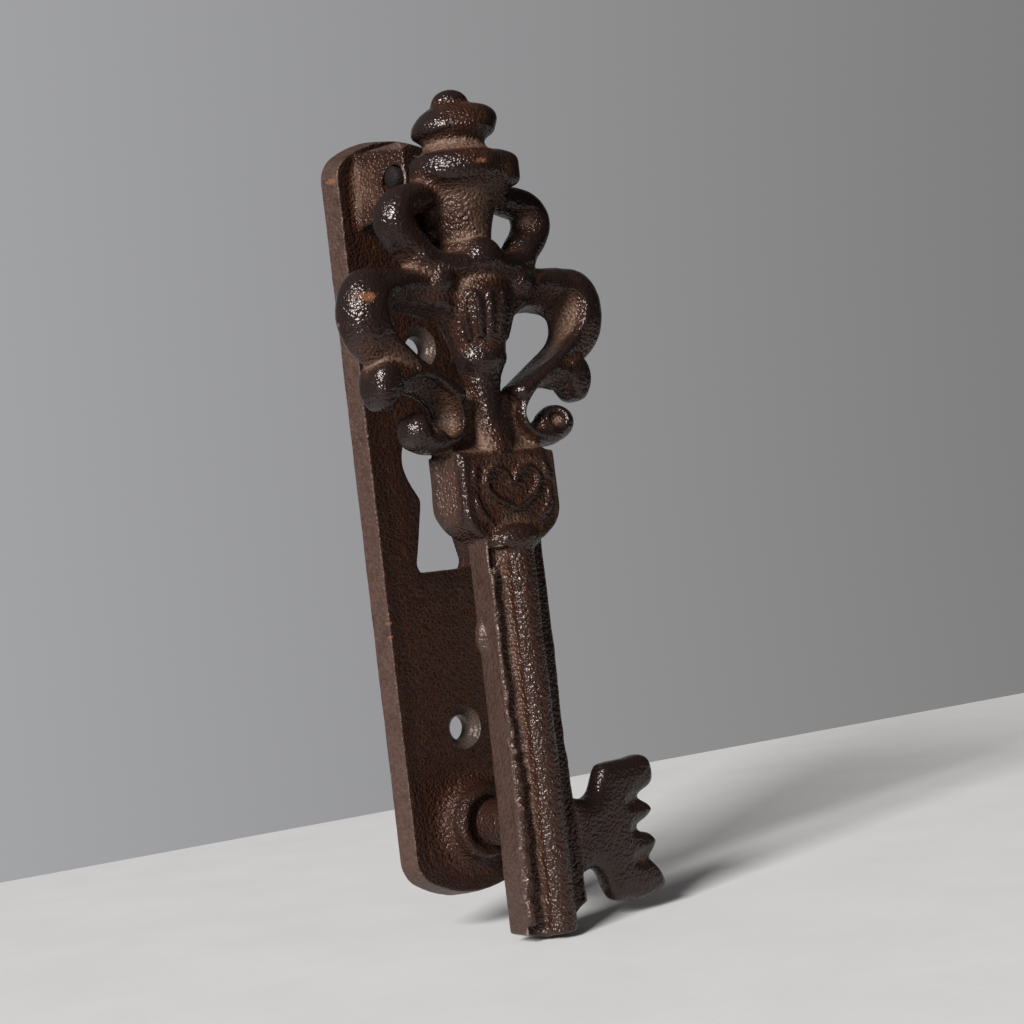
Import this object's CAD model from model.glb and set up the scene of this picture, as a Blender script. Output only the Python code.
"""Looks of a cast-iron door knocker in the form of an ornate key, hung on a backplate.

The castings are fields of signed distances in millimetres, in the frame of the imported
model: X across the door, +Y into the door, +Z up. The parts of a casting run into each
other with fillets, and each is drawn as a piece of its own.
"""
import math
from functools import partial, reduce

import bpy
import numpy as np
import openvdb
from mathutils import Matrix, Vector


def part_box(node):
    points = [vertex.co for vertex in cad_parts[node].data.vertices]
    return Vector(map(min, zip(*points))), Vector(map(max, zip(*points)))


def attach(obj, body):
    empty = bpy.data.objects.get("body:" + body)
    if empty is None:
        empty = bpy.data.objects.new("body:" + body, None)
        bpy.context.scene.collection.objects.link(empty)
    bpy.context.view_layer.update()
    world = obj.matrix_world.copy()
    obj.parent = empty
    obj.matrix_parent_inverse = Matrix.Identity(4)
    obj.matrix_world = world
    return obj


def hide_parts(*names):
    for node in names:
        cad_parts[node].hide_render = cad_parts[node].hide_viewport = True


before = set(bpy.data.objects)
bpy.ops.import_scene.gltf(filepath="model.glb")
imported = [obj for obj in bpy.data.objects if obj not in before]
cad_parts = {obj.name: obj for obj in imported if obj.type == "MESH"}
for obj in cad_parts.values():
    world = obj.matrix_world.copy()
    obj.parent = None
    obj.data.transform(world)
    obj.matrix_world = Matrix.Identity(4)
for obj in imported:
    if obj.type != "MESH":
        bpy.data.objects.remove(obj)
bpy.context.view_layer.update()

MM = 0.001
X, Y, Z = 0, 1, 2


def span(node, axis):
    """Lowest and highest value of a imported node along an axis, in millimetres."""
    low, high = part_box(node)
    return low[axis] / MM, high[axis] / MM


# Driving dimensions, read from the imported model
PLATE_FRONT = span("backplate", Y)[0]
PLATE_LOW, PLATE_TOP = span("backplate", Z)
PLATE_FOOT_HALF = span("backplate", X)[1]
PIN_LOW, PIN_HIGH = span("hinge_pin", Z)
PIN_R = (PIN_HIGH - PIN_LOW) / 2
PIN_Z = (PIN_HIGH + PIN_LOW) / 2
PIN_Y = span("hinge_pin", Y)[0] + PIN_R
PIN_MIDDLE = (0, PIN_Y, PIN_Z)
EAR_LOW, EAR_TOP = span("hinge_ear_right", Z)
EAR_IN, EAR_FOOT = span("hinge_ear_right", X)
EAR_FRONT = span("hinge_ear_right", Y)[0]
ANVIL_FOOT_R = span("anvil_boss", X)[1]
ANVIL_Z = span("anvil_boss", Z)[0] + ANVIL_FOOT_R
ANVIL_FRONT = span("anvil_boss", Y)[0]
STRIKER_BACK = span("striker_stud", Y)[1]
COLLAR_HALF = span("heart_collar", X)[1]
COLLAR_TOP = span("stem", Z)[0]
SHANK_LOW, COLLAR_LOW = span("shank", Z)
SHANK_BACK = span("shank", Y)[1]
HEAD_BACK = span("heart_collar", Y)[1]
AXIS_Y = sum(span("upper_scroll_right", Y)) / 2
BIT_BACK = span("bit", Y)[1]
BIT_LOW, BIT_TOP = span("bit", Z)
BIT_REACH = span("bit", X)[1]

# Sizes of the looks alone
STEP = 0.26    # voxels of the castings
FAR = 6.0        # distances are held to this
MARGIN = 2.2     # how far beyond its box a shape is worked out
LAP = 0.5        # how far pieces of one casting reach into each other
SINK = 0.05      # how far a lapped edge dips under its neighbour
PLATE_DRAFT = 1.2
SCREW_Z = 45.0
SCREW_R = 2.95
SINK_R = 4.9


def front(h):
    """Y of a point that lies h in front of the plate."""
    return PLATE_FRONT - h


def about(centre, reach):
    """The corners of a box around a point, with one reach or one along each axis."""
    return np.subtract(centre, reach), np.add(centre, reach)


def placed(name, data):
    """A new object in the scene."""
    made = bpy.data.objects.new(name, data)
    bpy.context.scene.collection.objects.link(made)
    return made


def drawn(name, points, faces):
    """A new mesh object, smoothly shaded, from points in metres."""
    mesh = bpy.data.meshes.new(name)
    mesh.from_pydata(points, [], faces)
    mesh.update()
    mesh.shade_smooth()
    return placed(name, mesh)


# Fields

def smooth_min(a, b, soft):
    """The union of two fields with a fillet of about that size."""
    if soft <= 0:
        return np.minimum(a, b)
    h = np.maximum(soft - abs(a - b), 0) / soft
    return np.minimum(a, b) - h * h * soft * 0.25


def smooth_max(a, b, soft):
    return -smooth_min(-a, -b, soft)


def blur(field, reach):
    """A box blur along each axis, reach voxels each way."""
    for axis in range(3):
        wide = [(0, 0)] * 3
        wide[axis] = (reach + 1, reach)
        total = np.cumsum(np.pad(field, wide, mode="edge"), axis=axis, dtype=np.float32)
        total, count = np.moveaxis(total, axis, 0), 2 * reach + 1
        field = np.moveaxis((total[count:] - total[:-count]) / count, 0, axis)
    return field


def spline_weights(at, count):
    """Cubic B-spline weights of lattice points 0 to count - 1 at the places given."""
    away = abs(at[:, None] - np.arange(count))
    near = 2 / 3 - away ** 2 + away ** 3 / 2
    wing = np.clip(2 - away, 0, None) ** 3 / 6
    return np.where(away < 1, near, wing).astype(np.float32)


def lumps(casting, pitch, seed):
    """Smooth unevenness over a whole casting, about -1 to 1, with lumps that far apart."""
    places = [(a - a[0]) / pitch + 1 for a in casting.axes]
    counts = [int(p[-1]) + 3 for p in places]
    lattice = np.random.default_rng(seed).uniform(-2, 2, counts).astype(np.float32)
    for at, count in zip(places, counts):
        lattice = np.tensordot(lattice, spline_weights(at, count), (0, 1))
    return lattice


class Casting:
    """One casting as signed distances on a grid, negative inside, with each part's own field kept."""

    def __init__(self, low, high, marks):
        self.axes = [
            (a + STEP * np.arange(int((b - a) / STEP) + 2)).astype(np.float32)
            for a, b in zip(low, high)
        ]
        self.field = np.full([len(a) for a in self.axes], FAR, np.float32)
        self.parts = {}
        self.marks = marks

    def window(self, low, high):
        """The slices of a box, and the places of its voxels."""
        cut = tuple(slice(*np.searchsorted(a, ends)) for a, *ends in zip(self.axes, low, high))
        return cut, *np.ix_(*[a[c] for a, c in zip(self.axes, cut)])

    def add(self, name, shape, low, high, soft=0.0):
        """Joins a shape to the casting with a fillet, as part of the piece of that name."""
        reach = max(soft + 2.5 * STEP, MARGIN)
        cut, x, y, z = self.window([a - reach for a in low], [b + reach for b in high])
        own = np.broadcast_to(shape(x, y, z), self.field[cut].shape).astype(np.float32)
        self.field[cut] = smooth_min(self.field[cut], own, soft)
        self.parts.setdefault(name, []).append((cut, own))

    def carve(self, shape, low, high, soft=0.0):
        """Takes a shape out of the casting."""
        reach = soft + 2.5 * STEP
        cut, x, y, z = self.window([a - reach for a in low], [b + reach for b in high])
        self.field[cut] = smooth_max(self.field[cut], -shape(x, y, z), soft)

    def read_skin(self):
        """Finds where the skin is hollow or proud, for its dust and wear."""
        held = np.clip(self.field, -2, 2)
        fine = max(1, round(0.55 / STEP))
        broad = max(2, round(2.4 / STEP))
        self.wear = blur(blur(held, fine), fine) - held
        self.dust = held - blur(blur(held, broad), broad)

    def roughen(self, layers, calm=None):
        """Makes the skin uneven, and less so where it stands proud. layers holds (pitch, height, seed).

        calm, a function of x, y and z, gives the share of the fine unevenness that is left."""
        grip = 1 - 0.45 * np.clip(-2.2 * self.dust - 0.25, 0, 1)
        if calm:
            grip = grip * calm(*np.ix_(*self.axes))
        for pitch, height, seed in layers:
            self.field += height * lumps(self, pitch, seed) * (grip if pitch < 2 else 1)

    def sample(self, grid, points):
        """A grid's values at points, between the voxels."""
        at = (points - [a[0] for a in self.axes]) / STEP
        base = np.clip(at.astype(int), 0, np.array(grid.shape) - 2)
        part = at - base
        found = np.zeros(len(points))
        for corner in np.ndindex(2, 2, 2):
            share = np.prod(np.where(corner, part, 1 - part), axis=1)
            i, j, k = (base + corner).T
            found += share * grid[i, j, k]
        return found

    def box_of(self, name):
        cuts = zip(*[cut for cut, _ in self.parts[name]])
        return tuple(slice(min(c.start for c in along), max(c.stop for c in along)) for along in cuts)

    def nearest(self, names, box):
        """The least of those parts' own distances in a box."""
        least = np.full_like(self.field, FAR)
        for name in names:
            for cut, own in self.parts[name]:
                least[cut] = np.minimum(least[cut], own)
        return least[box]

    def piece(self, node, name, body, side=0):
        """Draws one part of the casting, bounded midway to its neighbours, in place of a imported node.

        side is -1 or 1 where only the left or the right half of the part is drawn."""
        box = self.box_of(name)
        others = [n for n in self.parts if n != name]
        region = (self.nearest([name], box) - self.nearest(others, box)) / 2 - LAP
        places = [a[cut] for a, cut in zip(self.axes, box)]
        if side:
            region = np.maximum(region, -side * places[0][:, None, None] - LAP)
        dip = SINK * np.clip(region / LAP + 1, 0, 1)
        field = np.maximum(self.field[box] + dip, region)
        closed = np.pad(np.clip(field, -1.5, 1.5), 1, constant_values=1.5)
        grid = openvdb.FloatGrid(1.5)
        grid.copyFromArray(np.ascontiguousarray(closed, dtype=np.float32))
        points, triangles, quads = grid.convertToPolygons(isovalue=0.0, adaptivity=0.0)
        points = (points - 1) * STEP + [a[0] for a in places]
        faces = [*quads[:, ::-1].tolist(), *triangles[:, ::-1].tolist()]
        piece = drawn(node + "_cast", (points * MM).tolist(), faces)
        values = {"wear": self.sample(self.wear, points), "dust": self.sample(self.dust, points)}
        values.update({key: mark(*points.T) for key, mark in self.marks.items()})
        for key, found in values.items():
            layer = piece.data.attributes.new(key, "FLOAT", "POINT")
            layer.data.foreach_set("value", np.asarray(found, np.float32))
        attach(piece, body)
        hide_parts(node)
        return piece


# Shapes: each returns a function of x, y and z that gives signed distances

def curve(knots, steps, closed=False):
    """A smooth line through knots, with any further columns carried along."""
    knots = np.array(knots, float)
    count, line = len(knots), []
    for i in range(count if closed else count - 1):
        near = np.arange(i - 1, i + 3)
        a, b, c, d = knots[near % count if closed else np.clip(near, 0, count - 1)]
        for t in np.arange(steps) / steps:
            line.append(0.5 * (2 * b + (c - a) * t + (2 * a - 5 * b + 4 * c - d) * t ** 2
                               + (3 * b - a - 3 * c + d) * t ** 3))
    if not closed:
        line.append(knots[-1])
    return np.array(line)


def outline_distance(points, u, v):
    """Signed distance in a plane from a closed outline."""
    shape = np.broadcast(u, v).shape
    best = np.full(shape, 1e9)
    inside = np.zeros(shape, bool)
    for (au, av), (bu, bv) in zip(points, np.roll(points, -1, axis=0)):
        eu, ev = bu - au, bv - av
        t = np.clip(((u - au) * eu + (v - av) * ev) / max(eu * eu + ev * ev, 1e-12), 0, 1)
        best = np.minimum(best, (u - au - t * eu) ** 2 + (v - av - t * ev) ** 2)
        if abs(ev) > 1e-9:
            inside ^= ((av > v) != (bv > v)) & (u < eu * (v - av) / ev + au)
    return np.where(inside, -1, 1) * np.sqrt(best)


def seen(points, x, z):
    """The same for an outline seen from the front, over a whole window."""
    return outline_distance(points, x[:, 0, :], z[0])[:, None, :]


def between(flat, thick, rounding):
    """Joins a distance in a plane and one across it to a solid with rounded edges."""
    flat, thick = flat + rounding, thick + rounding
    outside = np.sqrt(np.maximum(flat, 0) ** 2 + np.maximum(thick, 0) ** 2)
    return outside + np.minimum(np.maximum(flat, thick), 0) - rounding


def behind(limit):
    """All that lies behind a plane across Y."""
    return lambda x, y, z: limit - y


def ellipsoid(centre, radii):
    def shape(x, y, z):
        p = [(a - c) for a, c in zip((x, y, z), centre)]
        k0 = np.sqrt(sum((a / r) ** 2 for a, r in zip(p, radii)))
        k1 = np.sqrt(sum((a / r ** 2) ** 2 for a, r in zip(p, radii)))
        return k0 * (k0 - 1) / np.maximum(k1, 1e-6)
    return shape


def blob(centre, radii, reach):
    """An ellipsoid with its box, ready to be added or carved."""
    return ellipsoid(centre, radii), *about(centre, reach)


def rod(axis, centre, r, half, rounding):
    """A round rod along X, Y or Z."""
    def shape(x, y, z):
        p = [(a - c) for a, c in zip((x, y, z), centre)]
        along = p.pop(axis)
        return between(np.hypot(*p) - r, abs(along) - half, rounding)
    return shape


def thread(points, r):
    """A round thread through points."""
    def shape(x, y, z):
        best = 1e9
        for a, b in zip(points, points[1:]):
            e = [q - p for p, q in zip(a, b)]
            p = [c - s for c, s in zip((x, y, z), a)]
            t = np.clip(sum(i * j for i, j in zip(p, e)) / sum(i * i for i in e), 0, 1)
            best = np.minimum(best, sum((i - t * j) ** 2 for i, j in zip(p, e)))
        return np.sqrt(best) - r
    return shape


def turned(profile):
    """A turned form around the key's upright axis, from a profile of (radius, height)."""
    closed = np.array([(0, profile[0][1]), *profile, (0, profile[-1][1])])
    closed = np.concatenate([closed, closed[::-1] * (-1, 1)])

    def shape(x, y, z):
        pitch = 0.15
        radius = np.hypot(x, y - AXIS_Y)[:, :, 0]
        steps = np.arange(0, radius.max() + 2 * pitch, pitch)
        table = outline_distance(closed, steps[:, None], z[0]).astype(np.float32)
        at = radius / pitch
        base = np.minimum(at.astype(int), len(steps) - 2)
        part = (at - base)[:, :, None].astype(np.float32)
        return table[base] * (1 - part) + table[base + 1] * part
    return shape


def folded(x, drawn_in):
    """Distance from the key's middle plane. Leaves on the right side are drawn in by that much."""
    return abs(x) + drawn_in * np.clip((x - 16) / 9, 0, 1)


def strand(knots, square=2.0, drawn_in=0.0):
    """Scrollwork on both sides, through knots of (x, z, half width, half depth, height).

    Height is the middle's distance in front of the plate. The section is an ellipse,
    or boxier where square is above 2."""
    line = curve(knots, 8)

    def shape(x, y, z):
        across, up = folded(x[:, 0, :], drawn_in), z[0, :, :]
        away = np.hypot(across[..., None] - line[:, 0], up[..., None] - line[:, 1])
        pick = np.argmin(away - line[:, 2], axis=-1)
        side = np.take_along_axis(away, pick[..., None], -1)[..., 0][:, None, :]
        width, depth, height = [line[pick, k][:, None, :] for k in (2, 3, 4)]
        a, b = side / width, abs(y - front(height)) / depth
        k0 = np.maximum((a ** square + b ** square) ** (1 / square), 1e-3)
        slope = k0 ** (1 - square) * np.hypot(a ** (square - 1) / width, b ** (square - 1) / depth)
        return np.clip((k0 - 1) / np.maximum(slope, 1e-3), -FAR, FAR)
    return shape


def funnel(back, mouth, back_h, mouth_h, bow, drawn_in=0.0):
    """A hole through the scrollwork on both sides, from one outline at the back to another in front."""
    back, mouth = curve(back, 4, closed=True), curve(mouth, 4, closed=True)

    def shape(x, y, z):
        far, near = [seen(outline, folded(x, drawn_in), z) for outline in (back, mouth)]
        share = np.clip((PLATE_FRONT - y - back_h) / (mouth_h - back_h), 0, 1) ** bow
        return 0.85 * (far + (near - far) * share)
    return shape


def mirrored(points):
    """A closed outline from its right half, listed from the top down."""
    return [*points, *[(-a, b) for a, b in reversed(points)]]


# The key

KEY_PIECES = (
    ("finial", 0), ("urn", 0), ("vase", 0), ("stem", 0), ("hinge_lug", 0),
    ("upper_scroll", -1), ("upper_scroll", 1), ("main_scroll", -1), ("main_scroll", 1),
    ("lower_scroll", -1), ("lower_scroll", 1), ("heart_collar", 0), ("shank", 0), ("bit", 0),
    ("striker_stud", 0),
)
RIGHT_LEAF_IN = 2.4         # how far the lower scroll on the right is drawn in
COLLAR_FACE = front(26.2)
FACE_SHIFT = 1.2            # how far the collar's face stands to the right
SHANK_FACE = front(26)

# Turned profiles hold (radius, z).
FINIAL = [
    (9.3, 84.9), (8.6, 85.9), (7.6, 86.8), (7.1, 87.8), (7.2, 88.6), (7.9, 89.4), (8.9, 90.0),
    (9.5, 90.7), (9.5, 91.7), (9.1, 92.9), (8.2, 94.2), (7.1, 95.3), (5.7, 96.2), (4.7, 96.9),
    (4.3, 97.7), (3.9, 98.8), (3.0, 99.9), (1.6, 100.6), (0.1, 100.8),
]
URN = [
    (5.8, 64.0), (6.0, 66.3), (6.5, 68.8), (7.1, 71.0), (7.7, 73.0), (8.4, 75.0), (9.2, 76.5),
    (10.3, 77.5), (11.6, 78.4), (12.4, 79.6), (12.7, 81.0), (12.6, 82.6), (12.1, 83.9),
    (11.1, 84.9), (9.7, 85.5), (8.4, 85.7),
]
VASE = [
    (4.3, 33.0), (4.6, 34.6), (5.3, 36.2), (6.1, 37.6), (6.4, 38.8), (6.3, 40.2), (6.5, 41.8),
    (7.2, 44.0), (8.1, 46.4), (8.9, 49.0), (9.2, 51.8), (8.9, 54.6), (8.0, 57.0), (7.3, 59.0),
    (7.4, 60.6), (7.8, 62.0), (7.6, 63.6), (6.6, 65.0), (5.2, 65.8),
]
STEM = [
    (5.4, 16.5), (5.1, 18.4), (4.6, 20.6), (4.0, 24.0), (3.8, 28.0), (4.3, 33.6),
]
UPPER_SCROLL = [
    (8.5, 76.4, 3.2, 4.2, 20.6), (13.5, 75.6, 3.6, 4.5, 21.0), (18.2, 74.0, 3.9, 4.8, 21.4),
    (20.0, 70.6, 4.5, 5.0, 21.4), (18.6, 67.0, 4.3, 4.9, 21.4), (15.6, 63.6, 4.0, 4.8, 21.6),
    (13.4, 60.2, 3.9, 4.8, 21.8), (11.6, 57.6, 3.5, 4.6, 21.8),
]
SADDLE = [
    (14.2, 61.6, 3.0, 3.8, 22.8), (9.6, 59.9, 3.0, 3.6, 24.6), (4.8, 59.8, 3.0, 3.4, 26.2),
    (0.0, 60.2, 3.0, 3.2, 27.0),
]
MAIN_SCROLL = [
    (7.5, 53.0, 6.4, 5.2, 21.0), (14.0, 53.5, 6.2, 5.4, 21.0), (20.5, 53.6, 6.2, 5.6, 21.0),
    (26.4, 50.8, 9.0, 5.9, 21.2), (27.2, 48.4, 9.3, 5.9, 21.2), (26.2, 44.2, 7.8, 5.6, 21.2),
    (22.0, 39.8, 4.8, 5.4, 21.2), (16.2, 35.4, 3.2, 5.2, 21.2), (10.0, 31.0, 2.8, 4.8, 21.2),
]
MAIN_HOLE_BACK = [
    (9.0, 46.5), (12.5, 48.6), (17.0, 49.3), (21.6, 49.3), (25.2, 48.6), (26.1, 46.8), (25.4, 44.4),
    (23.0, 41.8), (19.5, 39.3), (15.5, 37.0), (11.2, 34.8), (7.0, 33.0), (6.2, 35.0), (7.6, 41.0),
]
MAIN_HOLE_MOUTH = [
    (9.8, 48.4), (12.9, 50.6), (17.5, 51.8), (22.0, 53.0), (25.8, 53.8), (27.9, 52.2), (28.3, 49.0),
    (26.6, 44.9), (22.8, 41.3), (17.8, 37.8), (12.4, 34.9), (7.4, 33.0), (6.6, 35.4), (8.0, 42.0),
]
LOWER_SCROLL = [
    (29.4, 30.7, 2.7, 4.2, 21.6), (29.0, 33.2, 4.0, 5.1, 21.6), (28.0, 35.6, 4.2, 5.4, 21.6),
    (25.0, 35.3, 3.6, 5.2, 21.4), (22.0, 33.9, 4.2, 5.2, 21.4), (18.0, 33.4, 4.5, 5.2, 21.4),
    (14.6, 30.6, 4.0, 5.2, 21.3), (12.4, 26.8, 4.2, 5.2, 21.2), (12.8, 23.6, 4.2, 5.2, 21.2),
    (14.6, 21.6, 3.3, 5.0, 21.2), (17.4, 21.4, 3.4, 4.8, 21.2), (19.8, 22.6, 3.8, 4.8, 21.2),
]
LOWER_HOLE_BACK = [
    (13.2, 27.6), (13.2, 25.4), (14.6, 24.0), (16.2, 24.4), (17.2, 27.2), (20.0, 28.9), (24.6, 27.0),
    (25.0, 29.4), (24.3, 31.0), (22.0, 31.8), (18.6, 31.4), (15.4, 29.9),
]
LOWER_HOLE_MOUTH = [
    (8.9, 27.0), (9.2, 23.2), (11.6, 21.2), (15.0, 21.4), (16.8, 25.0), (19.4, 28.9), (24.4, 27.0),
    (25.4, 29.6), (25.0, 32.6), (22.6, 34.6), (18.0, 34.7), (12.8, 31.6),
]
SCROLL_WEB = [
    (0.1, 31.6), (6.6, 31.6), (8.6, 28.0), (8.4, 23.0), (9.6, 19.0), (12.0, 17.0), (0.1, 17.0),
]
HEART = [
    (0.5, 10.3, 0.7, 0.7, 26.1), (1.8, 12.3, 0.8, 0.9, 26.2), (4.2, 13.4, 0.8, 0.9, 26.2),
    (6.8, 12.6, 0.8, 0.9, 26.2), (7.8, 10.3, 0.8, 0.9, 26.2), (6.6, 8.0, 0.8, 0.9, 26.1),
    (3.6, 5.8, 0.8, 0.9, 26.1), (0.0, 4.3, 0.8, 0.8, 26.1),
]
BORDER = [
    (9.2, 14.4, 0.8, 0.4, 25.9), (10.4, 13.4, 0.9, 0.9, 25.9), (10.9, 11.4, 0.9, 0.8, 25.9),
    (10.8, 9.4, 0.7, 0.3, 25.5), (10.9, 7.2, 0.9, 0.8, 25.9), (10.2, 4.6, 1.0, 0.9, 25.9),
    (8.4, 2.6, 0.9, 0.8, 25.9), (6.0, 1.4, 0.9, 0.5, 25.8),
]
# The bit's outline, measured inward from its tip, and down from its top or up from its foot.
BIT_UPPER = [
    (22.0, 7.4), (19.2, 6.0), (17.6, 3.4), (16.4, 1.4), (14.8, 0.4), (8.0, 0.3), (3.4, 0.1), (1.0, 1.4),
    (0.3, 4.8), (1.4, 7.4), (5.0, 9.0), (5.2, 10.0), (2.4, 11.8), (1.7, 13.4), (3.4, 14.9), (6.6, 16.2),
    (6.0, 17.6), (3.2, 18.6), (1.6, 20.6), (2.8, 22.6), (4.2, 24.2), (2.4, 26.2), (0.6, 28.6), (0.1, 31.2),
]
BIT_LOWER = [
    (1.8, 1.2), (5.0, 0.3), (9.0, 0.1), (15.4, 1.2), (17.8, 3.6), (19.4, 8.0), (22.0, 9.8),
]
# Each place has its x, z, height in front of the plate, radius and strength.
KEY_RUST = [
    (-3.0, 81.8, 33, 1.5, 1), (10.6, 77.6, 26, 1.0, 1), (-33.4, 52.6, 26, 2.5, 1),
    (-36.5, 47.5, 20, 1.1, 1), (34.9, -87.3, 22, 0.6, 1),
]
PLATE_RUST = [
    (-18.6, 84.4, -2.0, 1.7, 1), (-18.3, -18.5, -0.3, 1.0, 1), (-18.3, -21.5, -0.3, 0.8, 1),
    (-5.6, -73.4, 4.6, 0.7, 1),
]
KEY_TAN = [
    (-3, 88.5, 30, 6.2, 1.9), (0, 73.0, 28, 8.0, 1.3), (-33, 40.5, 23, 3.5, 1), (-24, 41.0, 26, 5.5, 1),
    (-15, 38.0, 26, 5.0, 1), (25.5, 47.0, 21, 6.5, 1.3), (20.0, 40.5, 21, 5.5, 1.3),
    (-11.0, 26.0, 23, 6.0, 2.2), (-12.5, 20.5, 24, 4.0, 1.6), (-6, 18.8, 25, 5.0, 1.8),
    (6, 18.8, 25, 5.0, 1.8), (9.0, 26.0, 19, 4.5, 1.3), (-13.5, 70.0, 26, 3.5, 1),
    (18.5, 71.0, 24, 3.5, 1), (-14.5, 4.0, 20, 7.0, 0.6),
]
PLATE_TAN = [(-13, 82, 9, 7, 1.4), (13, 82, 9, 7, 1.4)]


def spots(places, tall=1.0):
    """How near a point is to those places, which lie flat where tall is above 1."""
    def mark(x, y, z):
        found = np.zeros(len(x))
        for sx, sz, h, r, strength in places:
            away = np.sqrt((x - sx) ** 2 + (y - front(h)) ** 2 + (tall * (z - sz)) ** 2)
            found = np.maximum(found, np.clip(1.6 - away / r, 0, 1) * strength)
        return found
    return mark


def key_spared(x, y, z):
    """Where hands keep the key clear of dust: shank and bit, and less so the collar's face."""
    shank = np.clip((COLLAR_LOW - z) / 2, 0, 1)
    bit = 1 + 0.8 * np.clip((x - 9.5) / 3, 0, 1)
    collar = 0.6 * (y < front(25.2)) * (z < COLLAR_TOP) * (abs(x) < COLLAR_HALF)
    return np.maximum(shank * bit, collar)


def add_turned(key):
    """The finial, urn, vase and stem stand on one axis and meet end to end."""
    for name, profile in (("stem", STEM), ("vase", VASE), ("urn", URN), ("finial", FINIAL)):
        line = curve(profile, 4)
        r = line[:, 0].max()
        key.add(name, turned(line), (-r, AXIS_Y - r, line[0, 1]), (r, AXIS_Y + r, line[-1, 1]), 0.4)
    key.add("finial", *blob((4.3, front(24.6), 93.6), (5.2, 4.8, 3.5), 5.2), 1.4)
    lump = (6.8, front(29.8), 80.7)
    key.add("urn", rod(Z, lump, 3.4, 3.8, 2.2), *about(lump, 4), 2.2)


def vase_point(turn, z):
    """A point just under the vase's skin, that far round from the front, in degrees."""
    profile, sunk = np.array(VASE), 0.35
    r = np.interp(z, profile[:, 1], profile[:, 0]) - sunk
    return (r * math.sin(math.radians(turn)), AXIS_Y - r * math.cos(math.radians(turn)), z)


def add_reeds(key):
    """A raised loop and a bar on each side of the vase's front, and the knob on its collar."""
    loop = [(-53, 43.4), (-54, 46), (-54, 49), (-52, 51.4), (-47, 52.9), (-41, 53.2), (-35, 52.6),
            (-31, 51.0), (-30, 48.5), (-30, 46), (-30, 43.8)]
    bar = [(-11, 43.8), (-11.5, 47), (-12, 50), (-12, 52.3)]
    for line in (loop, bar):
        for sign in (1, -1):
            points = [vase_point(sign * turn, z) for turn, z in line]
            low, high = np.min(points, axis=0) - 1, np.max(points, axis=0) + 1
            key.add("vase", thread(points, 0.75), low, high, 0.7)
    key.add("vase", *blob((-0.8, front(27.2), 61.4), (5.0, 4.2, 4.5), 5), 1.0)


def add_scrolls(key):
    """Three pairs of scrolls spring from the turned column."""
    for name, knots, square, soft, drawn_in in (
        ("upper_scroll", UPPER_SCROLL, 2.0, 1.8, 0.0),
        ("upper_scroll", SADDLE, 2.0, 1.2, 0.0),
        ("main_scroll", MAIN_SCROLL, 2.2, 1.6, 0.0),
        ("lower_scroll", LOWER_SCROLL, 2.6, 0.8, RIGHT_LEAF_IN),
    ):
        line = np.array(knots)
        out = (line[:, 0] + line[:, 2]).max()
        low, high = (line[:, 1] - line[:, 2]).min(), (line[:, 1] + line[:, 2]).max()
        key.add(name, strand(knots, square, drawn_in), (-out, front(30), low), (out, front(14), high), soft)
    for side in (-1, 1):
        ball, dish = (side * 30.6, front(21.4), 49.6), (side * 19.4, front(29.6), 50.0)
        key.add("main_scroll", *blob(ball, (6.3, 6.3, 9.6), 9.6), 2.0)
        key.carve(*blob(dish, (7.6, 6.4, 5.4), 7.6), 3.0)


def open_scrolls(key):
    """The holes through the main and the lower scrolls."""
    key.carve(funnel(MAIN_HOLE_BACK, MAIN_HOLE_MOUTH, 15.5, 27.4, 0.8),
              (-30, front(40), 32), (30, front(10), 58), 1.6)
    key.carve(funnel(LOWER_HOLE_BACK, LOWER_HOLE_MOUTH, 16.0, 26.5, 0.9, RIGHT_LEAF_IN),
              (-28, front(40), 20), (28, front(10), 37), 0.9)


def dress_scrolls(key):
    """Bosses, dimpled curls, and a web from the lower scrolls to the stem."""
    for side in (-1, 1):
        boss = (side * 11.2, front(25.2), 56.4)
        curl, dimple = (side * 20.2, front(21.3), 23.4), (side * 18.2, front(25.9), 24.4)
        key.add("main_scroll", *blob(boss, (3.0, 2.8, 2.6), 3), 1.8)
        key.add("lower_scroll", *blob(curl, (4.3, 4.9, 4.2), 5), 0.8)
        key.carve(*blob(dimple, (2.1, 2.8, 2.4), 3), 1.0)
    outline, face = mirrored(SCROLL_WEB), front(20.6)

    def web(x, y, z):
        return between(seen(outline, x, z), np.maximum(face - y, y - HEAD_BACK), 0.5)
    key.add("lower_scroll", web, (-12, face, 17), (12, HEAD_BACK, 31.6), 1.2)


def add_collar_web(key):
    """Metal that rises behind the collar's top edge to the stem and the lower scrolls."""
    lip, foot, head = front(26.0), COLLAR_TOP - 3, COLLAR_TOP + 4.2

    def web(x, y, z):
        from_lip = np.clip(y - lip, 0, 12)
        rise = 0.35 * from_lip + 0.08 * from_lip ** 2
        over = np.maximum((z - COLLAR_TOP + 0.4 - rise) * 0.7, z - head)
        ends = np.maximum(lip + 0.8 - y, y - HEAD_BACK)
        flanks = np.maximum(abs(x) - COLLAR_HALF + 1.5, ends)
        return np.maximum(np.maximum(over, foot - z), flanks)
    key.add("heart_collar", web, (-COLLAR_HALF, lip, foot), (COLLAR_HALF, HEAD_BACK, head), 0.9)


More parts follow.
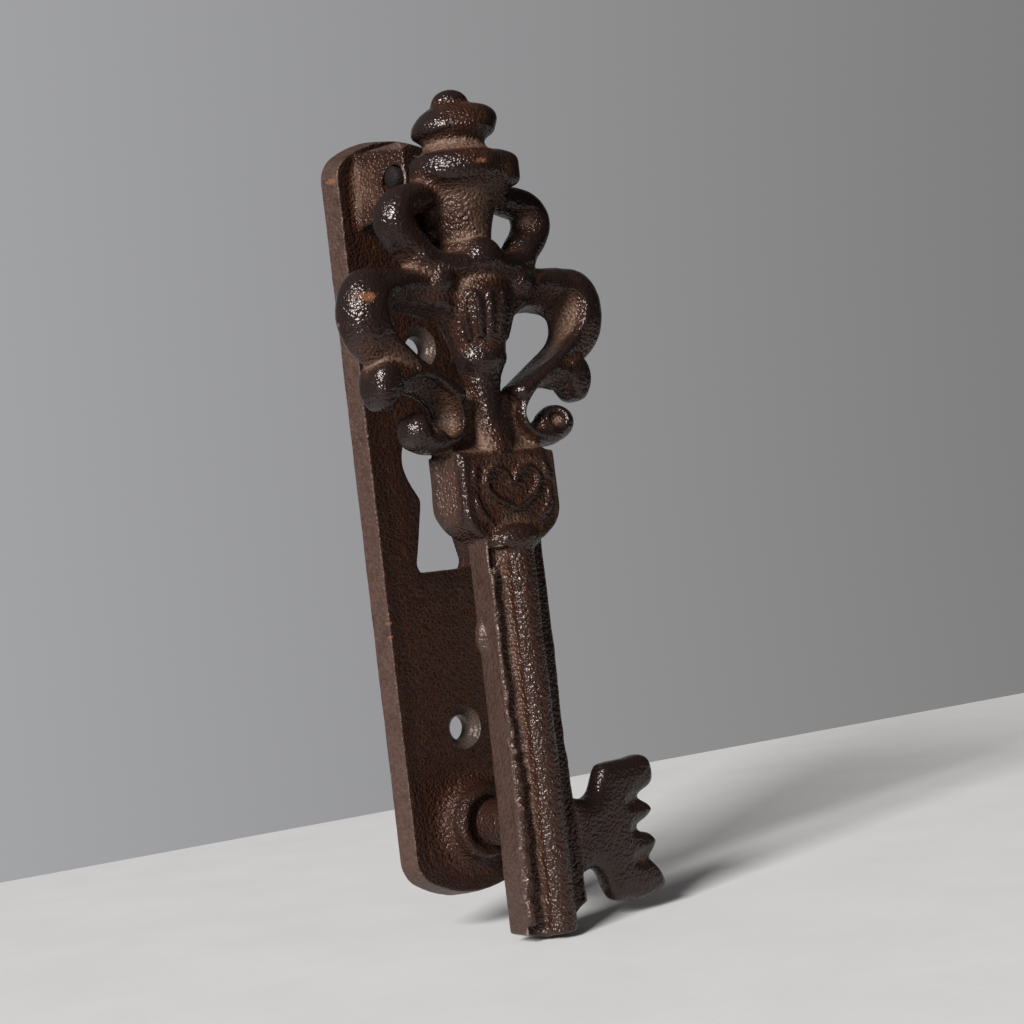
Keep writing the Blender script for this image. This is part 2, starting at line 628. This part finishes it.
def add_collar(key):
    """The mould's halves lay askew, so that the collar's face stands to the right of its back."""
    corner, corner_z = 7.5, 4.6
    bend = [(COLLAR_HALF - corner + corner * math.cos(a), corner_z + corner * math.sin(a))
            for a in np.radians(np.linspace(0, -62, 9))]
    half = [(0, COLLAR_TOP), (COLLAR_HALF - 0.3, COLLAR_TOP), *bend, (8.0, COLLAR_LOW - 1.5)]
    outline = mirrored(half)[1:]

    def block(x, y, z):
        forward = np.clip((HEAD_BACK - y) / (HEAD_BACK - COLLAR_FACE), 0, 1)
        face, back = [seen(outline, x - shift, z) for shift in (FACE_SHIFT, 0.0)]
        flat = back + (face - back) * forward + 0.5 * forward
        return between(flat, np.maximum(COLLAR_FACE - y, y - HEAD_BACK), 0.7)
    key.add("heart_collar", block,
            (-COLLAR_HALF, COLLAR_FACE, COLLAR_LOW - 2), (COLLAR_HALF + 1, HEAD_BACK, COLLAR_TOP), 1.0)

    def back_slope(x, y, z):
        return (HEAD_BACK - (SHANK_BACK - HEAD_BACK) * np.clip((z - 5) / 8, -1, 0) - y) * 0.9
    key.carve(back_slope,
              (-COLLAR_HALF, SHANK_BACK, COLLAR_LOW - 3), (COLLAR_HALF, HEAD_BACK + 2, COLLAR_TOP), 0.6)


def add_heart(key):
    """A raised heart in a broken border on the collar's face, and a knob below it."""
    for knots in (HEART, BORDER):
        def raised(x, y, z, line=strand(knots)):
            return line(x - FACE_SHIFT, y, z)
        key.add("heart_collar", raised, (-13, front(29), -1), (15, front(25), 16), 0.6)
    key.add("heart_collar", *blob((0, COLLAR_FACE, COLLAR_LOW - 0.6), (6.6, 4.6, 3.4), 6.6), 1.6)


def shank_half(z):
    """Half width of the shank, which widens in two steps."""
    return np.interp(z, (SHANK_LOW + 14, COLLAR_LOW - 48, COLLAR_LOW), (9.2, 8.3, 8.1))


def add_shank(key):
    """A flat bar with a half-round bead down its face, between two grooves."""
    foot, bead_r, rim = SHANK_LOW + 0.2, 4.0, 0.15

    def body(x, y, z):
        across = abs(x) - shank_half(z)
        ends = np.maximum(z - COLLAR_LOW - 1, foot + 0.03 * (x + 2) ** 2 + 0.35 * np.clip(x - 4, 0, 9) - z)
        return between(np.maximum(across, ends), np.maximum(SHANK_FACE - y, y - SHANK_BACK), 0.55)

    def bead(x, y, z):
        ends = np.maximum(z - COLLAR_LOW, foot + 0.4 - z)
        return between(np.hypot(x, y - SHANK_FACE) - bead_r, ends, 1.0)

    def groove(x, y, z):
        reach = (shank_half(z) - rim - bead_r) / 2
        return np.hypot(abs(x) - bead_r - reach, y - SHANK_FACE + 1.2) - np.hypot(reach, 1.2)

    low, high = (-9.5, SHANK_FACE - bead_r, SHANK_LOW), (9.5, SHANK_BACK, COLLAR_LOW)
    key.add("shank", body, low, high, 0.6)
    key.add("shank", bead, low, high, 0.9)
    key.carve(groove, (-9.6, SHANK_FACE - 4, SHANK_LOW - 2), (9.6, SHANK_FACE + 3, COLLAR_LOW - 3.2), 0.5)


def add_flash(key):
    """The mould's seam: a ragged line down the left edge, and a lump behind."""
    draws = np.random.default_rng(31)
    for z in np.arange(COLLAR_LOW - 8, SHANK_LOW + 3, -1.8):
        low_down = np.clip((-42 - z) / 16, 0, 1)
        x, y = -shank_half(z) + 0.6 + draws.uniform(-0.3, 0.5), SHANK_FACE + draws.uniform(-0.3, 0.3)
        radii = (0.4 + low_down * draws.uniform(0.5, 1.2), 0.35 + low_down * draws.uniform(0.4, 1.2),
                 draws.uniform(0.9, 1.9))
        key.add("shank", ellipsoid((x + 0.5 * low_down, y, z), radii),
                (x - 2, y - 2, z - 3), (x + 2.5, y + 2, z + 3), 0.9)
    lump_z = -24.0
    key.add("shank", *blob((-shank_half(lump_z), SHANK_BACK - 1.2, lump_z), (1.2, 1.4, 3.2), 3.4), 1.2)


def add_bit(key):
    """A flat bit with soft edges, dented between its four teeth."""
    root, face = 7.0, BIT_BACK - 6.4
    upper = [(BIT_REACH - inward, BIT_TOP - down) for inward, down in BIT_UPPER]
    lower = [(BIT_REACH - inward, BIT_LOW + up) for inward, up in BIT_LOWER]
    outline = curve([*upper, *lower, (root, BIT_LOW + 10.2), (root, BIT_TOP - 7.6)], 4, closed=True)

    def shape(x, y, z):
        flat = seen(outline, x, z)
        swell = 0.5 * np.clip(-flat / 4, 0, 1) - 0.5
        return between(flat, np.maximum(face - y, y - BIT_BACK) - swell, 2.2)
    key.add("bit", shape, (6, face, BIT_LOW), (BIT_REACH, BIT_BACK, BIT_TOP), 1.2)
    draws = np.random.default_rng(32)
    for down in (10.2, 16.6, 23.8):
        dent = (BIT_REACH - 6.6 + draws.uniform(-0.6, 0.6), face - 0.9, BIT_TOP - down)
        key.carve(*blob(dent, (3.8, 1.9, 2.1), 4), 1.2)


def add_striker(key):
    """The stud behind the shank that strikes the anvil."""
    middle = (0, (SHANK_BACK + STRIKER_BACK) / 2, ANVIL_Z)
    half = (STRIKER_BACK - SHANK_BACK) / 2
    key.add("striker_stud", rod(Y, middle, 5.4, half + 0.3, 1.0),
            (-7, SHANK_BACK - 2, ANVIL_Z - 7), (7, STRIKER_BACK, ANVIL_Z + 7), 1.2)
    key.carve(behind(STRIKER_BACK),
              (-8, STRIKER_BACK - 1, ANVIL_Z - 8), (8, STRIKER_BACK + 2, ANVIL_Z + 8), 0.6)


def add_lug(key):
    """The lug behind the urn that turns on the pin, with room for the ears beside it."""
    half, lug_r = 6.6, 5.2

    def room(x, y, z):
        return between(np.hypot(y - PIN_Y, z - PIN_Z) - 8.6, half + 0.1 - abs(x), 0.4)
    key.carve(room, *about(PIN_MIDDLE, (20, 9, 9)), 0.6)
    key.add("hinge_lug", rod(X, PIN_MIDDLE, lug_r, half, 0.6), *about(PIN_MIDDLE, (half, lug_r, lug_r)))

    def neck(x, y, z):
        flat = np.maximum(abs(x) - half, abs(z - PIN_Z + 1.3) - 3.9)
        return between(flat, abs(y - PIN_Y + 4) - 4, 0.5)
    key.add("hinge_lug", neck, (-half, PIN_Y - 8, PIN_Z - 6), (half, PIN_Y, PIN_Z + 4), 0.4)

    def bore(x, y, z):
        return np.hypot(y - PIN_Y, z - PIN_Z) - PIN_R - 0.15 + 0 * x
    key.carve(bore, *about(PIN_MIDDLE, (8, 3, 3)))


def key_ground(x, y, z):
    """The sides of the shank and the collar are smoother than the rest of the key."""
    shank = np.clip((abs(x) - shank_half(z) + 0.5) / 0.4, 0, 1) * (z < COLLAR_LOW) * (abs(x) < 9.8)
    collar = np.clip((abs(x) - COLLAR_HALF + 1.6) / 0.5, 0, 1) * (z > COLLAR_LOW + 3) * (z < COLLAR_TOP)
    return np.maximum(0.55 * shank, 0.45 * collar)


def key_calm(x, y, z):
    """The bit's faces are less grainy than the rest."""
    return 1 - 0.75 * np.clip((x - 9) / 3, 0, 1) * (z < COLLAR_LOW) + 0 * y


def key_casting():
    marks = {
        "rust": spots(KEY_RUST, 2.0), "tan": spots(KEY_TAN), "ground": key_ground, "spared": key_spared,
    }
    half, top = 39, 103
    key = Casting((-half, -41.5, -94), (half, -9, top), marks)
    for add_form in (add_turned, add_scrolls, open_scrolls, dress_scrolls):
        add_form(key)
    key.carve(behind(HEAD_BACK), (-half, HEAD_BACK - 1, COLLAR_TOP - 1), (half, HEAD_BACK + 14, top), 0.8)
    for add_form in (add_reeds, add_collar_web, add_collar, add_heart, add_shank, add_flash, add_bit,
                     add_striker, add_lug):
        add_form(key)
    return key


# The plate

def plate_outline():
    """The plate's front, with shallow domed ends and rounded corners."""
    dome, corner = 28, 6.0
    cx = PLATE_FOOT_HALF - PLATE_DRAFT - corner
    cz = math.sqrt((dome - corner) ** 2 - cx ** 2)
    turn = math.atan2(cz, cx)
    ends = []
    for end, sign in ((PLATE_TOP, 1), (PLATE_LOW, -1)):
        centre = end - sign * dome
        arc = [(dome * math.cos(a), centre + sign * dome * math.sin(a))
               for a in np.linspace(math.pi / 2, turn, 8)]
        bend = [(cx + corner * math.cos(a), centre + sign * (cz + corner * math.sin(a)))
                for a in np.linspace(turn, 0, 7)]
        ends.append(arc + bend)
    return mirrored([*ends[0], *ends[1][::-1]])


KEYHOLE = [
    (0.01, 27.4), (4.4, 26.1), (7.6, 22.9), (8.8, 18.5), (8.0, 14.8), (6.4, 11.8), (5.0, 9.6),
    (4.9, 8.0), (5.5, 5.2), (6.4, 1.0), (7.3, -3.0), (7.9, -5.6), (7.4, -7.2), (6.2, -7.7), (0.01, -7.7),
]
PLATE_OUTLINE = plate_outline()
PLATE_PIECES = ("backplate", "hinge_ear_left", "hinge_ear_right", "anvil_boss")


def plate_draft(y):
    """How much wider the plate is than at its front."""
    return PLATE_DRAFT * (y - PLATE_FRONT) / -PLATE_FRONT


def plate_ground(x, y, z):
    """The plate's edge is ground smooth all round."""
    return np.clip((outline_distance(PLATE_OUTLINE, x, z) - plate_draft(y) + 0.22) / 0.2, 0, 1)


def plate_bored(x, y, z):
    """The screw holes and their sinks are machined."""
    reach = np.maximum(SINK_R - np.clip(y - PLATE_FRONT, 0, None), SCREW_R)
    return np.clip((reach + 0.2 - np.hypot(x, abs(z) - SCREW_Z)) / 0.25, 0, 1)


def add_backplate(plate):
    """The plate with its keyhole, which flares a little at the front."""
    def body(x, y, z):
        return between(seen(PLATE_OUTLINE, x, z) - plate_draft(y), np.maximum(PLATE_FRONT - y, y), 0.3)
    plate.add("backplate", body, (-PLATE_FOOT_HALF, PLATE_FRONT, PLATE_LOW - PLATE_DRAFT),
              (PLATE_FOOT_HALF, 0, PLATE_TOP + PLATE_DRAFT))
    outline = mirrored([tuple(p) for p in curve(KEYHOLE, 3)])

    def keyhole(x, y, z):
        return seen(outline, x, z) - 0.5 * np.clip(PLATE_FRONT + 1 - y, 0, 1) ** 2
    plate.carve(keyhole, (-10, PLATE_FRONT - 1, -9), (10, 1, 29), 0.35)


def add_screw_holes(plate):
    for z0 in (-SCREW_Z, SCREW_Z):
        def hole_and_sink(x, y, z, z0=z0):
            r = np.hypot(x, z - z0)
            sink = (r - SINK_R + np.clip(y - PLATE_FRONT, 0, None)) * 0.75
            return np.minimum(r - SCREW_R, sink)
        plate.carve(hole_and_sink, (-6, PLATE_FRONT - 1, z0 - 6), (6, 1, z0 + 6), 0.15)


def add_ears(plate):
    """Webs that carry on the plate's top edge outwards, with a slanting underside."""
    top = EAR_TOP + 0.9

    def ears(x, y, z):
        rise = np.clip((PLATE_FRONT - y) / (PLATE_FRONT - EAR_FRONT), 0, 1)
        under = (EAR_LOW - z + (PIN_Z - 6.0 - EAR_LOW) * rise) * 0.85
        inside_plate = seen(PLATE_OUTLINE, x, z) + 0.35
        upright = smooth_max(np.maximum(inside_plate, z - top), under, 2.0)
        block = np.maximum(between(upright, EAR_FRONT - y, 2.6), y - PLATE_FRONT - 1)
        x = abs(x)
        outer = EAR_FOOT - 1.0 - (EAR_FOOT - 11.1) * rise + 0.085 * (top - z) * (1 - 0.5 * rise)
        return between(block, np.maximum(EAR_IN - x, x - outer), 0.6)
    for side, name in ((-1, "hinge_ear_left"), (1, "hinge_ear_right")):
        def one(x, y, z, side=side):
            return np.maximum(ears(x, y, z), -side * x)
        left, right = sorted((6 * side, 15 * side))
        plate.add(name, one, (left, EAR_FRONT, EAR_LOW), (right, PLATE_FRONT + 1, top), 1.4)

    def bore(x, y, z):
        wear = np.clip((abs(x) - 9) / 2, 0, 1)
        return np.hypot(y - PIN_Y + wear, z - PIN_Z + wear) - PIN_R - 0.12 - wear
    plate.carve(bore, *about(PIN_MIDDLE, (15, 4, 4)), 0.2)


def add_anvil(plate):
    """A cup with a raised rim, on a wide soft foot."""
    rim_r, cup_r, cup_depth, base_r = 7.3, 6.2, 2.2, ANVIL_FOOT_R - 1.3

    def boss(x, y, z):
        r = np.hypot(x, z - ANVIL_Z)
        rise = np.clip((PLATE_FRONT - y) / (PLATE_FRONT - ANVIL_FRONT), 0, 1)
        flank = (r - base_r + (base_r - rim_r - 0.9) * rise) * 0.95
        return np.maximum(between(flank, ANVIL_FRONT - y, 1.3), y - PLATE_FRONT - 1)

    def cup(x, y, z):
        share = np.hypot(np.hypot(x, z - ANVIL_Z) / cup_r, (y - ANVIL_FRONT) / cup_depth)
        return share * cup_depth - cup_depth
    plate.add("anvil_boss", boss, (-ANVIL_FOOT_R, ANVIL_FRONT, ANVIL_Z - ANVIL_FOOT_R),
              (ANVIL_FOOT_R, PLATE_FRONT + 1, ANVIL_Z + ANVIL_FOOT_R), 3.4)
    plate.carve(cup, (-cup_r, ANVIL_FRONT - 1, ANVIL_Z - cup_r),
                (cup_r, ANVIL_FRONT + cup_depth, ANVIL_Z + cup_r), 0.7)


def plate_spared(x, y, z):
    """The plate holds little dust all over."""
    return np.full(len(x), 0.8)


def plate_casting():
    marks = {
        "rust": spots(PLATE_RUST, 2.0), "tan": spots(PLATE_TAN), "ground": plate_ground,
        "bored": plate_bored, "spared": plate_spared,
    }
    plate = Casting((-20.5, -21.5, -83.5), (20.5, 1.5, 94.8), marks)
    add_backplate(plate)
    add_ears(plate)
    add_anvil(plate)
    return plate


def draw_pieces():
    """All pieces of both castings, by the node that each stands for."""
    made = {}
    key = key_casting()
    key.read_skin()
    key.roughen(((7.0, 0.14, 11), (2.6, 0.08, 12), (1.1, 0.05, 13)), key_calm)
    for name, side in KEY_PIECES:
        node = name + {0: "", -1: "_left", 1: "_right"}[side]
        made[node] = key.piece(node, name, "knocker", side)
    plate = plate_casting()
    plate.read_skin()
    plate.roughen(((8.0, 0.08, 21), (2.6, 0.05, 22), (1.1, 0.045, 23)))
    add_screw_holes(plate)
    for name in PLATE_PIECES:
        made[name] = plate.piece(name, name, "plate")
    return made


def make_pin():
    """The hinge pin, hammered over a little at both ends, out to the ears' flanks."""
    half, around = span("hinge_pin", X)[1], 32
    line = [(0.0, half + 0.25), (1.1, half + 0.2), (2.0, half), (PIN_R, half - 0.5), (PIN_R, half - 2.5)]
    line += [(r, -x) for r, x in reversed(line)]
    points, rings, faces = [], [], []
    for r, x in line:
        count = around if r else 1
        rings.append([len(points) + k for k in range(count)])
        for k in range(count):
            a = math.tau * k / around
            points.append((x * MM, (PIN_Y + r * math.cos(a)) * MM, (PIN_Z + r * math.sin(a)) * MM))
    for a, b in zip(rings, rings[1:]):
        for k in range(around):
            corners = [a[k % len(a)], b[k % len(b)], b[(k + 1) % len(b)], a[(k + 1) % len(a)]]
            faces.append(list(dict.fromkeys(corners)))
    piece = drawn("hinge_pin_rod", points, faces)
    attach(piece, "plate")
    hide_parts("hinge_pin")
    return piece


pieces = draw_pieces()


# Materials

class Nodes:
    """The nodes of a material or of the world, made and joined by calls."""

    def __init__(self, owner):
        owner.use_nodes = True
        self.nodes, self.links = owner.node_tree.nodes, owner.node_tree.links

    def put(self, value, socket):
        if isinstance(value, bpy.types.NodeSocket):
            self.links.new(value, socket)
        elif isinstance(value, tuple) and socket.type == "RGBA":
            socket.default_value = (*value, 1)
        else:
            socket.default_value = value

    def make(self, kind, values, **settings):
        """A node with those settings, and values or links on its inputs."""
        made = self.nodes.new(kind)
        for setting, choice in settings.items():
            setattr(made, setting, choice)
        for key, value in values.items():
            self.put(value, made.inputs[key])
        return made.outputs

    def remap(self, value, low, high, to_low=0.0, to_high=1.0):
        limits = {"From Min": low, "From Max": high, "To Min": to_low, "To Max": to_high}
        return self.make("ShaderNodeMapRange", {"Value": value, **limits})["Result"]

    def math(self, kind, a, b=0.0):
        return self.make("ShaderNodeMath", {0: a, 1: b}, operation=kind)[0]

    def dot(self, vector, towards):
        return self.make("ShaderNodeVectorMath", {0: vector, 1: towards}, operation="DOT_PRODUCT")["Value"]

    def mixed(self, share, a, b):
        """A colour that goes from a to b."""
        return self.make("ShaderNodeMix", {0: share, 6: a, 7: b}, data_type="RGBA")[2]

    def times(self, *values):
        return reduce(partial(self.math, "MULTIPLY"), values)

    def plus(self, *values):
        return reduce(partial(self.math, "ADD"), values)

    def blend(self, share, a, b):
        """A number that goes from a to b."""
        return self.plus(self.times(share, self.math("SUBTRACT", b, a)), a)

    def swayed(self, value, noise, amount):
        """A value pushed up and down by a noise."""
        return self.plus(value, self.times(self.math("SUBTRACT", noise, 0.5), amount))

    def axis(self, vector, axis):
        return self.make("ShaderNodeSeparateXYZ", {0: vector})[axis]


class Skin(Nodes):
    """A material whose colour, roughness and relief come from its nodes."""

    def __init__(self, name):
        self.material = bpy.data.materials.new(name)
        super().__init__(self.material)
        self.shader = self.nodes["Principled BSDF"].inputs
        coordinates = self.make("ShaderNodeTexCoord", {})
        self.place, self.facing = coordinates["Object"], coordinates["Normal"]

    def noise(self, pitch, detail, stretch=(1, 1, 1)):
        """Noise from 0 to 1 with cells of that many millimetres."""
        scaled = self.make("ShaderNodeMapping", {"Vector": self.place, "Scale": stretch})[0]
        return self.make("ShaderNodeTexNoise", {
            "Vector": scaled, "Scale": 1 / (pitch * MM), "Detail": detail, "Roughness": 0.55,
        })["Fac"]

    def pebbles(self, pitch, softness):
        """Rounded grains that wide, from 0 in the gaps to about 1 on their tops."""
        cells = {"Vector": self.place, "Scale": 1 / (pitch * MM), "Smoothness": softness}
        away = self.make("ShaderNodeTexVoronoi", cells, feature="SMOOTH_F1")["Distance"]
        return self.math("SUBTRACT", 1.0, away)

    def turned_rings(self, pitch):
        """Fine rings round the plate's two screw holes, from -1 to 1."""
        up = self.math("SUBTRACT", self.math("ABSOLUTE", self.axis(self.place, Z)), SCREW_Z * MM)
        across = self.axis(self.place, X)
        away = self.math("SQRT", self.plus(self.times(up, up), self.times(across, across)))
        return self.math("SINE", self.times(away, math.tau / (pitch * MM)))

    def attribute(self, name):
        return self.make("ShaderNodeAttribute", {}, attribute_name=name)["Fac"]

    def relief(self, height, distance, strength=1.0):
        values = {"Strength": strength, "Distance": distance * MM, "Height": height}
        self.put(self.make("ShaderNodeBump", values)["Normal"], self.shader["Normal"])


DEEP_BROWN = (0.020, 0.0074, 0.0042)
BROWN = (0.034, 0.0130, 0.0075)
RED_BROWN = (0.048, 0.0185, 0.0105)
WAXED = (0.0150, 0.0082, 0.0070)
DUST = (0.150, 0.086, 0.058)
GROUND = (0.052, 0.029, 0.022)
GROUND_LIGHT = (0.074, 0.043, 0.033)
BARE_EDGE = (0.14, 0.098, 0.080)
RUST = (0.21, 0.085, 0.042)
BORED = (0.072, 0.051, 0.040)
PIN_DARK = (0.005, 0.003, 0.002)
PIN_BROWN = (0.016, 0.008, 0.006)
PAINT = (0.77, 0.76, 0.745)
PAINT_LIGHT = (0.81, 0.80, 0.785)


def cast_iron(name, shine):
    """Sand-cast iron under wax: red-brown, dark where it is handled, with tan dust in its hollows."""
    skin = Skin(name)
    remap, mixed, times, plus, swayed = skin.remap, skin.mixed, skin.times, skin.plus, skin.swayed
    patches, mottle, grain, fine = [skin.noise(*size) for size in ((14, 3), (2.6, 3), (1.0, 2), (0.42, 1))]
    pebbled, strokes = skin.pebbles(0.75, 0.5), skin.noise(0.7, 2, stretch=(1, 0.15, 1))
    dust, wear, tan, rust, ground, bored, spared = [
        skin.attribute(name) for name in ("dust", "wear", "tan", "rust", "ground", "bored", "spared")
    ]
    lodged = skin.math("SUBTRACT", plus(dust, times(tan, 0.27)), times(spared, 0.15))
    lodged = swayed(swayed(lodged, mottle, 0.18), patches, 0.18)
    upward = remap(skin.axis(skin.facing, Z), -0.7, 0.1, 0.3, 1.0)
    dusty = times(remap(lodged, 0.08, 0.42), remap(spared, 0, 1, 1.0, 0.45),
                  remap(pebbled, 0.75, 0.35, 0.45, 1.0), upward)
    polished = skin.math("MAXIMUM", remap(spared, 0, 1, 1.0, 0.45), remap(spared, 1.1, 1.7))
    waxed = times(remap(lodged, -0.03, -0.28), polished)
    edge = remap(swayed(swayed(wear, grain, 0.10), mottle, 0.16), 0.20, 0.26)
    filed = times(ground, remap(mottle, 0.25, 0.5, 0.55, 1.0))
    filed_colour = mixed(remap(swayed(grain, fine, 0.6), 0.35, 0.65), GROUND, GROUND_LIGHT)
    rusted = remap(swayed(swayed(rust, mottle, 1.8), fine, 1.2), 0.6, 1.0, 0.0, 0.75)

    colour = mixed(remap(mottle, 0.3, 0.7), BROWN, RED_BROWN)
    for share, over in (
        (remap(grain, 0.52, 0.36, 0.0, 0.5), DEEP_BROWN), (waxed, WAXED), (dusty, DUST),
        (filed, filed_colour), (edge, BARE_EDGE), (bored, BORED), (rusted, RUST),
    ):
        colour = mixed(share, colour, over)
    skin.put(colour, skin.shader["Base Color"])

    roughness = 0.26
    for share, over in ((waxed, 0.23), (dusty, 0.48), (ground, 0.42), (bored, 0.36)):
        roughness = skin.blend(share, roughness, over)
    skin.put(swayed(roughness, mottle, 0.16), skin.shader["Roughness"])
    skin.put(shine, skin.shader["Specular IOR Level"])
    skin.put((1.0, 0.87, 0.82), skin.shader["Specular Tint"])

    machined = skin.math("MAXIMUM", ground, bored)
    smooth = skin.math("MAXIMUM", machined, remap(spared, 1.1, 1.7, 0.0, 0.8))
    depth = skin.blend(smooth, skin.blend(waxed, 1.0, 0.42), 0.3)
    pebbles = plus(times(pebbled, 0.7), times(grain, 0.6), times(fine, 0.35))
    marks = plus(times(strokes, ground, 0.35), times(skin.turned_rings(0.8), bored, 0.04))
    skin.relief(plus(times(pebbles, depth), marks), 0.65)
    return skin.material


def pin_steel():
    """Steel gone brown, under the same wax."""
    skin = Skin("hinge_pin_steel")
    grain = skin.noise(0.6, 3)
    skin.put(skin.mixed(skin.remap(grain, 0.35, 0.65), PIN_DARK, PIN_BROWN), skin.shader["Base Color"])
    skin.put(skin.remap(grain, 0.3, 0.7, 0.6, 0.8), skin.shader["Roughness"])
    skin.put(0.25, skin.shader["Specular IOR Level"])
    skin.relief(grain, 0.3)
    return skin.material


handled, sheltered = cast_iron("waxed_cast_iron", 0.44), cast_iron("sheltered_cast_iron", 0.28)
for name, piece in pieces.items():
    piece.data.materials.append(sheltered if name in PLATE_PIECES else handled)
pin = make_pin()
pin.data.materials.append(pin_steel())


# Stage, light and camera

CAMERA_PLACE = (-290.14, -375.79, -8.46)
CAMERA_BEARING, CAMERA_RISE, CAMERA_ROLL = 40.12, 1.51, 6.79
CAMERA_LENS, FRAME_WIDTH, SENSOR = 2000, 1024, 36.0     # pixels, pixels and millimetres


def make_stage():
    """A pale floor that ends in the line where the wall would stand."""
    left, right, near, back_edge, lean = -0.34, 0.66, -0.22, 0.248, -0.166
    level = (SHANK_LOW - 0.6) * MM
    corners = [(left, near, level), (right, near, level),
               (right, back_edge + lean * right, level), (left, back_edge + lean * left, level)]
    floor = drawn("floor", corners, [(0, 1, 2, 3)])
    paint = Skin("floor_paint")
    cloudy, brushed = paint.noise(30, 4), paint.noise(2.2, 3, stretch=(0.25, 1, 1))
    paint.put(paint.mixed(paint.remap(cloudy, 0.3, 0.7), PAINT, PAINT_LIGHT), paint.shader["Base Color"])
    paint.put(0.75, paint.shader["Roughness"])
    paint.relief(brushed, 0.12, 0.6)
    floor.data.materials.append(paint.material)


def make_window():
    """One large soft window, to the left and above."""
    towards, distance = Vector((-1.0, -0.40, 0.52)).normalized(), 8.0
    lamp = bpy.data.lights.new("window", "AREA")
    lamp.size, lamp.energy = 2.5, 16.8 * distance ** 2
    holder = placed("window", lamp)
    holder.location = towards * distance
    holder.rotation_euler = (-towards).to_track_quat("-Z", "Y").to_euler()


def make_room():
    """A grey wall, paler towards the window, and dim light from all round.

    Metal mirrors the stretch of wall that the camera looks at, and the dim room beyond it."""
    world = bpy.data.worlds.new("room")
    bpy.context.scene.world = world
    room = Nodes(world)
    place = room.make("ShaderNodeTexCoord", {})["Generated"]
    towards_window, ahead = (-0.93, 0.36, 0.0), (0.644, 0.765, 0.026)
    lit = room.remap(room.dot(place, towards_window), -0.92, 0.36)
    wall = room.mixed(lit, (0.096, 0.092, 0.086), (0.50, 0.505, 0.525))
    dimmed = room.mixed(room.math("POWER", lit, 1.6), (0.034, 0.031, 0.028), (0.13, 0.13, 0.134))
    path = room.make("ShaderNodeLightPath", {})
    mirrored_there = room.times(room.math("MAXIMUM", path["Is Glossy Ray"], path["Is Transmission Ray"]),
                                room.remap(room.dot(place, ahead), 0.83, 0.935))
    shown = room.math("MAXIMUM", path["Is Camera Ray"], mirrored_there)
    background = room.nodes["Background"].inputs
    room.put(room.mixed(shown, dimmed, wall), background["Color"])
    room.put(1.0, background["Strength"])


def make_camera():
    """A viewpoint to the left of the object, that rolls and looks up a little."""
    data = bpy.data.cameras.new("camera")
    data.sensor_width = SENSOR
    data.lens = CAMERA_LENS * SENSOR / FRAME_WIDTH
    data.clip_start, data.clip_end = 0.01, 20
    camera = placed("camera", data)
    turn = (Matrix.Rotation(math.radians(-CAMERA_BEARING), 4, "Z")
            @ Matrix.Rotation(math.radians(90 + CAMERA_RISE), 4, "X")
            @ Matrix.Rotation(math.radians(-CAMERA_ROLL), 4, "Z"))
    camera.matrix_world = Matrix.Translation([c * MM for c in CAMERA_PLACE]) @ turn
    bpy.context.scene.camera = camera


make_stage()
make_window()
make_room()
make_camera()
bpy.context.scene.view_settings.view_transform = "Standard"
